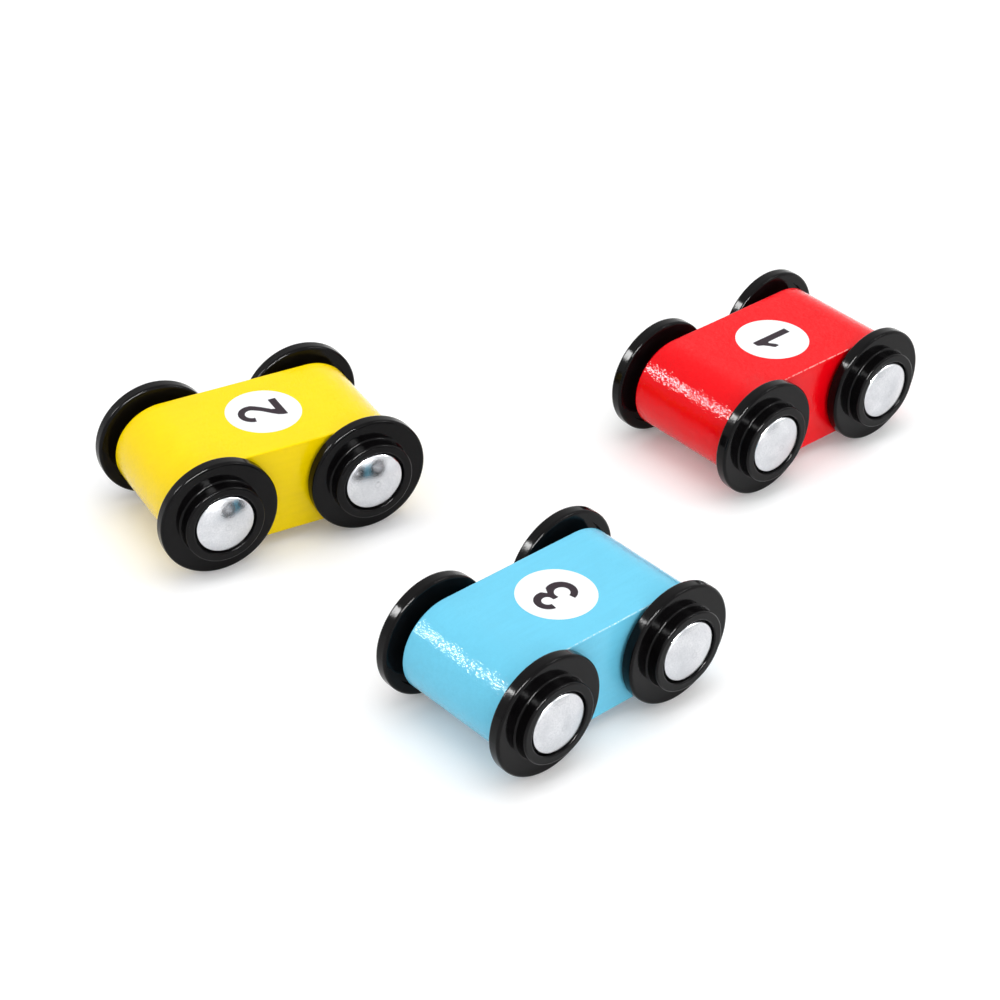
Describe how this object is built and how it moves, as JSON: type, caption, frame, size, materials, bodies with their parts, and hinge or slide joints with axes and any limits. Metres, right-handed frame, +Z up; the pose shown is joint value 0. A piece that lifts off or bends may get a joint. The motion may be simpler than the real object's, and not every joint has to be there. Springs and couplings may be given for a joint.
{
  "type": "click clack track toy cars",
  "caption": "Wooden race cars for a click clack track: flat blocks with round ends, stepped black wheels and domed steel caps; they roll, tumble and run either way up.",
  "frame": {"origin": "on the floor, below the middle of the set's bounding box", "axes": "+Z up; +X to the right of the picture's view, from the yellow car toward the red one; +Y away from the viewer. Each car's nose is the end toward the left of the picture."},
  "size_m": [0.2036, 0.186, 0.03],
  "materials": {
    "yellow_paint": "wood under glossy yellow paint",
    "blue_paint": "wood under glossy light blue paint",
    "red_paint": "wood under glossy red paint",
    "black_plastic": "polished black moulded plastic",
    "zinc_cap": "bright zinc plated pressed steel",
    "axle_steel": "drawn steel rod",
    "spring_steel": "dark spring steel"
  },
  "bodies": {
    "yellow_car": {"yellow_body": "yellow_paint"},
    "yellow_front_left_wheel": {"yellow_front_left_wheel": "black_plastic"},
    "yellow_front_right_wheel": {"yellow_front_right_wheel": "black_plastic"},
    "yellow_front_axle_set": {"yellow_front_axle": "axle_steel", "yellow_front_left_cap": "zinc_cap", "yellow_front_left_lock_washer": "spring_steel", "yellow_front_right_cap": "zinc_cap", "yellow_front_right_lock_washer": "spring_steel"},
    "yellow_rear_left_wheel": {"yellow_rear_left_wheel": "black_plastic"},
    "yellow_rear_right_wheel": {"yellow_rear_right_wheel": "black_plastic"},
    "yellow_rear_axle_set": {"yellow_rear_axle": "axle_steel", "yellow_rear_left_cap": "zinc_cap", "yellow_rear_left_lock_washer": "spring_steel", "yellow_rear_right_cap": "zinc_cap", "yellow_rear_right_lock_washer": "spring_steel"},
    "blue_car": {"blue_body": "blue_paint"},
    "blue_front_left_wheel": {"blue_front_left_wheel": "black_plastic"},
    "blue_front_right_wheel": {"blue_front_right_wheel": "black_plastic"},
    "blue_front_axle_set": {"blue_front_axle": "axle_steel", "blue_front_left_cap": "zinc_cap", "blue_front_left_lock_washer": "spring_steel", "blue_front_right_cap": "zinc_cap", "blue_front_right_lock_washer": "spring_steel"},
    "blue_rear_left_wheel": {"blue_rear_left_wheel": "black_plastic"},
    "blue_rear_right_wheel": {"blue_rear_right_wheel": "black_plastic"},
    "blue_rear_axle_set": {"blue_rear_axle": "axle_steel", "blue_rear_left_cap": "zinc_cap", "blue_rear_left_lock_washer": "spring_steel", "blue_rear_right_cap": "zinc_cap", "blue_rear_right_lock_washer": "spring_steel"},
    "red_car": {"red_body": "red_paint"},
    "red_front_left_wheel": {"red_front_left_wheel": "black_plastic"},
    "red_front_right_wheel": {"red_front_right_wheel": "black_plastic"},
    "red_front_axle_set": {"red_front_axle": "axle_steel", "red_front_left_cap": "zinc_cap", "red_front_left_lock_washer": "spring_steel", "red_front_right_cap": "zinc_cap", "red_front_right_lock_washer": "spring_steel"},
    "red_rear_left_wheel": {"red_rear_left_wheel": "black_plastic"},
    "red_rear_right_wheel": {"red_rear_right_wheel": "black_plastic"},
    "red_rear_axle_set": {"red_rear_axle": "axle_steel", "red_rear_left_cap": "zinc_cap", "red_rear_left_lock_washer": "spring_steel", "red_rear_right_cap": "zinc_cap", "red_rear_right_lock_washer": "spring_steel"}
  },
  "joints": [
    {"name": "yellow_roll", "type": "slide", "parent": "blue_car", "child": "yellow_car", "axis": [-0.8686, -0.4955, 0], "range_m": [-0.03, 0.06]},
    {"name": "yellow_front_axle_spin", "type": "hinge", "parent": "yellow_car", "child": "yellow_front_axle_set", "pos_m": [-0.07901, 0.00532, 0.015], "axis": [0.4955, -0.8686, 0], "continuous": true},
    {"name": "yellow_front_left_wheel_spin", "type": "hinge", "parent": "yellow_front_axle_set", "child": "yellow_front_left_wheel", "pos_m": [-0.07901, 0.00532, 0.015], "axis": [0.4955, -0.8686, 0], "continuous": true},
    {"name": "yellow_front_right_wheel_spin", "type": "hinge", "parent": "yellow_front_axle_set", "child": "yellow_front_right_wheel", "pos_m": [-0.07901, 0.00532, 0.015], "axis": [0.4955, -0.8686, 0], "continuous": true},
    {"name": "yellow_rear_axle_spin", "type": "hinge", "parent": "yellow_car", "child": "yellow_rear_axle_set", "pos_m": [-0.04513, 0.02465, 0.015], "axis": [0.4955, -0.8686, 0], "continuous": true},
    {"name": "yellow_rear_left_wheel_spin", "type": "hinge", "parent": "yellow_rear_axle_set", "child": "yellow_rear_left_wheel", "pos_m": [-0.04513, 0.02465, 0.015], "axis": [0.4955, -0.8686, 0], "continuous": true},
    {"name": "yellow_rear_right_wheel_spin", "type": "hinge", "parent": "yellow_rear_axle_set", "child": "yellow_rear_right_wheel", "pos_m": [-0.04513, 0.02465, 0.015], "axis": [0.4955, -0.8686, 0], "continuous": true},
    {"name": "blue_front_axle_spin", "type": "hinge", "parent": "blue_car", "child": "blue_front_axle_set", "pos_m": [-0.00541, -0.0682, 0.015], "axis": [0.6756, -0.7373, 0], "continuous": true},
    {"name": "blue_front_left_wheel_spin", "type": "hinge", "parent": "blue_front_axle_set", "child": "blue_front_left_wheel", "pos_m": [-0.00541, -0.0682, 0.015], "axis": [0.6756, -0.7373, 0], "continuous": true},
    {"name": "blue_front_right_wheel_spin", "type": "hinge", "parent": "blue_front_axle_set", "child": "blue_front_right_wheel", "pos_m": [-0.00541, -0.0682, 0.015], "axis": [0.6756, -0.7373, 0], "continuous": true},
    {"name": "blue_rear_axle_spin", "type": "hinge", "parent": "blue_car", "child": "blue_rear_axle_set", "pos_m": [0.02335, -0.04186, 0.015], "axis": [0.6756, -0.7373, 0], "continuous": true},
    {"name": "blue_rear_left_wheel_spin", "type": "hinge", "parent": "blue_rear_axle_set", "child": "blue_rear_left_wheel", "pos_m": [0.02335, -0.04186, 0.015], "axis": [0.6756, -0.7373, 0], "continuous": true},
    {"name": "blue_rear_right_wheel_spin", "type": "hinge", "parent": "blue_rear_axle_set", "child": "blue_rear_right_wheel", "pos_m": [0.02335, -0.04186, 0.015], "axis": [0.6756, -0.7373, 0], "continuous": true},
    {"name": "red_roll", "type": "slide", "parent": "blue_car", "child": "red_car", "axis": [-0.7455, -0.6665, 0], "range_m": [-0.06, 0.03]},
    {"name": "red_front_axle_spin", "type": "hinge", "parent": "red_car", "child": "red_front_axle_set", "pos_m": [0.04834, 0.04218, 0.015], "axis": [0.6665, -0.7455, 0], "continuous": true},
    {"name": "red_front_left_wheel_spin", "type": "hinge", "parent": "red_front_axle_set", "child": "red_front_left_wheel", "pos_m": [0.04834, 0.04218, 0.015], "axis": [0.6665, -0.7455, 0], "continuous": true},
    {"name": "red_front_right_wheel_spin", "type": "hinge", "parent": "red_front_axle_set", "child": "red_front_right_wheel", "pos_m": [0.04834, 0.04218, 0.015], "axis": [0.6665, -0.7455, 0], "continuous": true},
    {"name": "red_rear_axle_spin", "type": "hinge", "parent": "red_car", "child": "red_rear_axle_set", "pos_m": [0.07742, 0.06817, 0.015], "axis": [0.6665, -0.7455, 0], "continuous": true},
    {"name": "red_rear_left_wheel_spin", "type": "hinge", "parent": "red_rear_axle_set", "child": "red_rear_left_wheel", "pos_m": [0.07742, 0.06817, 0.015], "axis": [0.6665, -0.7455, 0], "continuous": true},
    {"name": "red_rear_right_wheel_spin", "type": "hinge", "parent": "red_rear_axle_set", "child": "red_rear_right_wheel", "pos_m": [0.07742, 0.06817, 0.015], "axis": [0.6665, -0.7455, 0], "continuous": true}
  ]
}
